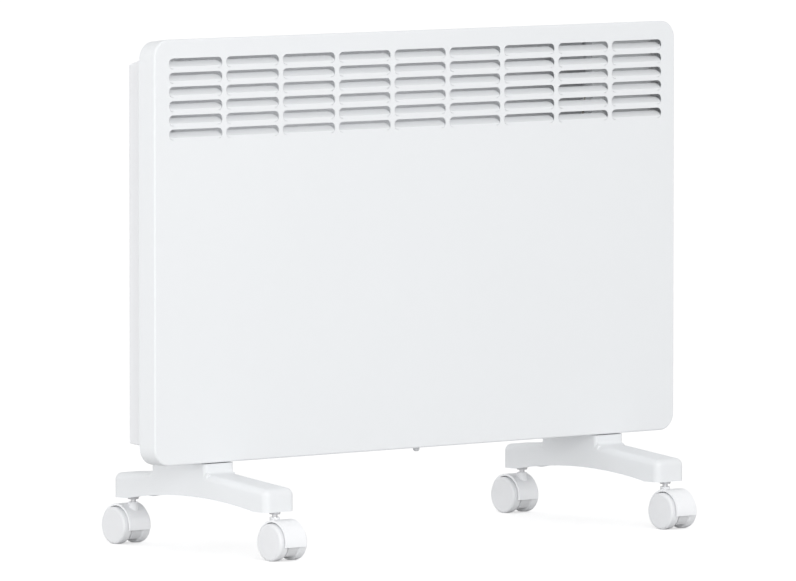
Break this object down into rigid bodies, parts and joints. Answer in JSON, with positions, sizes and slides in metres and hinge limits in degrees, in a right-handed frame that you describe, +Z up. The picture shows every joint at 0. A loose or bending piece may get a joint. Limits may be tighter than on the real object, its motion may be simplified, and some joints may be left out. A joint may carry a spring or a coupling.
{
  "type": "convector heater",
  "caption": "Mobile panel convector heater: louvred sheet front, deep rear housing with sloping top, cross feet on swivelling twin-wheel castors.",
  "frame": {"origin": "on the floor, under the middle of the four castors", "axes": "+X along the width, +Y to the back, +Z up; the louvred front faces -Y"},
  "size_m": [0.74, 0.3066, 0.5482],
  "materials": {
    "enamel": "white powder coat",
    "housing_enamel": "white powder coat",
    "foot_paint": "white satin coat",
    "screw_steel": "zinc plated",
    "element_aluminium": "extruded, oxidised",
    "rod_steel": "drawn",
    "ceramic": "unglazed",
    "sheet_steel": "galvanised",
    "dark_plastic": "fine grain",
    "rocker_plastic": "gloss",
    "control_plastic": "fine grain",
    "fascia_plastic": "satin",
    "window": "smoked",
    "board": "solder mask",
    "button_plastic": "satin",
    "terminal_plastic": "moulded",
    "lead_sleeve": "silicone and glass sleeve",
    "sensor_plastic": "gloss",
    "grommet_rubber": "moulded",
    "castor_steel": "zinc plated",
    "castor_plastic": "gloss nylon",
    "wheel_plastic": "gloss nylon",
    "stem_steel": "bright"
  },
  "bodies": {
    "heater": {"front_shell": "enamel", "rear_housing": "housing_enamel", "housing_flange": "housing_enamel", "foot_left": "foot_paint", "foot_right": "foot_paint", "casing_screws": "screw_steel", "bracket_rivets": "screw_steel", "foot_screws": "screw_steel", "heating_element": "element_aluminium", "heater_rod": "rod_steel", "element_insulators": "ceramic", "element_brackets": "sheet_steel", "heat_shield": "sheet_steel", "cutout_bracket": "sheet_steel", "thermal_cutout": "dark_plastic", "tilt_switch": "dark_plastic", "power_switch_frame": "dark_plastic", "display_module": "dark_plastic", "cable_inlet": "dark_plastic", "control_housing": "control_plastic", "control_fascia": "fascia_plastic", "display_window": "window", "control_board": "board", "terminal_block": "terminal_plastic", "element_leads": "lead_sleeve", "control_leads": "lead_sleeve", "sensor_lead": "lead_sleeve", "room_sensor": "sensor_plastic", "sensor_grommet": "grommet_rubber", "castor_sockets": "castor_steel"},
    "mains_rocker": {"power_rocker": "rocker_plastic"},
    "button_mode_cap": {"button_mode": "button_plastic"},
    "button_plus_cap": {"button_plus": "button_plastic"},
    "button_minus_cap": {"button_minus": "button_plastic"},
    "castor_front_left": {"castor_front_left_hood": "castor_plastic", "castor_front_left_stem": "stem_steel", "castor_front_left_axle": "stem_steel"},
    "castor_front_left_roller_l": {"castor_front_left_wheel_l": "wheel_plastic"},
    "castor_front_left_roller_r": {"castor_front_left_wheel_r": "wheel_plastic"},
    "castor_front_right": {"castor_front_right_hood": "castor_plastic", "castor_front_right_stem": "stem_steel", "castor_front_right_axle": "stem_steel"},
    "castor_front_right_roller_l": {"castor_front_right_wheel_l": "wheel_plastic"},
    "castor_front_right_roller_r": {"castor_front_right_wheel_r": "wheel_plastic"},
    "castor_back_left": {"castor_back_left_hood": "castor_plastic", "castor_back_left_stem": "stem_steel", "castor_back_left_axle": "stem_steel"},
    "castor_back_left_roller_l": {"castor_back_left_wheel_l": "wheel_plastic"},
    "castor_back_left_roller_r": {"castor_back_left_wheel_r": "wheel_plastic"},
    "castor_back_right": {"castor_back_right_hood": "castor_plastic", "castor_back_right_stem": "stem_steel", "castor_back_right_axle": "stem_steel"},
    "castor_back_right_roller_l": {"castor_back_right_wheel_l": "wheel_plastic"},
    "castor_back_right_roller_r": {"castor_back_right_wheel_r": "wheel_plastic"}
  },
  "joints": [
    {"name": "button_mode_press", "type": "slide", "parent": "heater", "child": "button_mode_cap", "axis": [0, -0.2873, -0.9578], "range_m": [0, 0.0012], "stiffness_N_per_m": 300, "springref_m": -0.0005},
    {"name": "button_plus_press", "type": "slide", "parent": "heater", "child": "button_plus_cap", "axis": [0, -0.2873, -0.9578], "range_m": [0, 0.0012], "stiffness_N_per_m": 300, "springref_m": -0.0005},
    {"name": "button_minus_press", "type": "slide", "parent": "heater", "child": "button_minus_cap", "axis": [0, -0.2873, -0.9578], "range_m": [0, 0.0012], "stiffness_N_per_m": 300, "springref_m": -0.0005},
    {"name": "mains_rocker_tilt", "type": "hinge", "parent": "heater", "child": "mains_rocker", "pos_m": [0.321, 0.034, 0.3974], "axis": [0, -1, 0], "range_deg": [0, 16]},
    {"name": "castor_front_left_swivel", "type": "hinge", "parent": "heater", "child": "castor_front_left", "pos_m": [-0.2781, -0.1177, 0.045], "axis": [0, 0, 1], "continuous": true},
    {"name": "castor_front_left_roll_l", "type": "hinge", "parent": "castor_front_left", "child": "castor_front_left_roller_l", "pos_m": [-0.2911, -0.1298, 0.02], "axis": [1, 0, 0], "continuous": true},
    {"name": "castor_front_left_roll_r", "type": "hinge", "parent": "castor_front_left", "child": "castor_front_left_roller_r", "pos_m": [-0.2651, -0.1298, 0.02], "axis": [1, 0, 0], "continuous": true},
    {"name": "castor_front_right_swivel", "type": "hinge", "parent": "heater", "child": "castor_front_right", "pos_m": [0.2781, -0.1177, 0.045], "axis": [0, 0, 1], "continuous": true},
    {"name": "castor_front_right_roll_l", "type": "hinge", "parent": "castor_front_right", "child": "castor_front_right_roller_l", "pos_m": [0.2651, -0.1298, 0.02], "axis": [1, 0, 0], "continuous": true},
    {"name": "castor_front_right_roll_r", "type": "hinge", "parent": "castor_front_right", "child": "castor_front_right_roller_r", "pos_m": [0.2911, -0.1298, 0.02], "axis": [1, 0, 0], "continuous": true},
    {"name": "castor_back_left_swivel", "type": "hinge", "parent": "heater", "child": "castor_back_left", "pos_m": [-0.2781, 0.1177, 0.045], "axis": [0, 0, 1], "continuous": true},
    {"name": "castor_back_left_roll_l", "type": "hinge", "parent": "castor_back_left", "child": "castor_back_left_roller_l", "pos_m": [-0.2911, 0.1298, 0.02], "axis": [1, 0, 0], "continuous": true},
    {"name": "castor_back_left_roll_r", "type": "hinge", "parent": "castor_back_left", "child": "castor_back_left_roller_r", "pos_m": [-0.2651, 0.1298, 0.02], "axis": [1, 0, 0], "continuous": true},
    {"name": "castor_back_right_swivel", "type": "hinge", "parent": "heater", "child": "castor_back_right", "pos_m": [0.2781, 0.1177, 0.045], "axis": [0, 0, 1], "continuous": true},
    {"name": "castor_back_right_roll_l", "type": "hinge", "parent": "castor_back_right", "child": "castor_back_right_roller_l", "pos_m": [0.2651, 0.1298, 0.02], "axis": [1, 0, 0], "continuous": true},
    {"name": "castor_back_right_roll_r", "type": "hinge", "parent": "castor_back_right", "child": "castor_back_right_roller_r", "pos_m": [0.2911, 0.1298, 0.02], "axis": [1, 0, 0], "continuous": true}
  ]
}
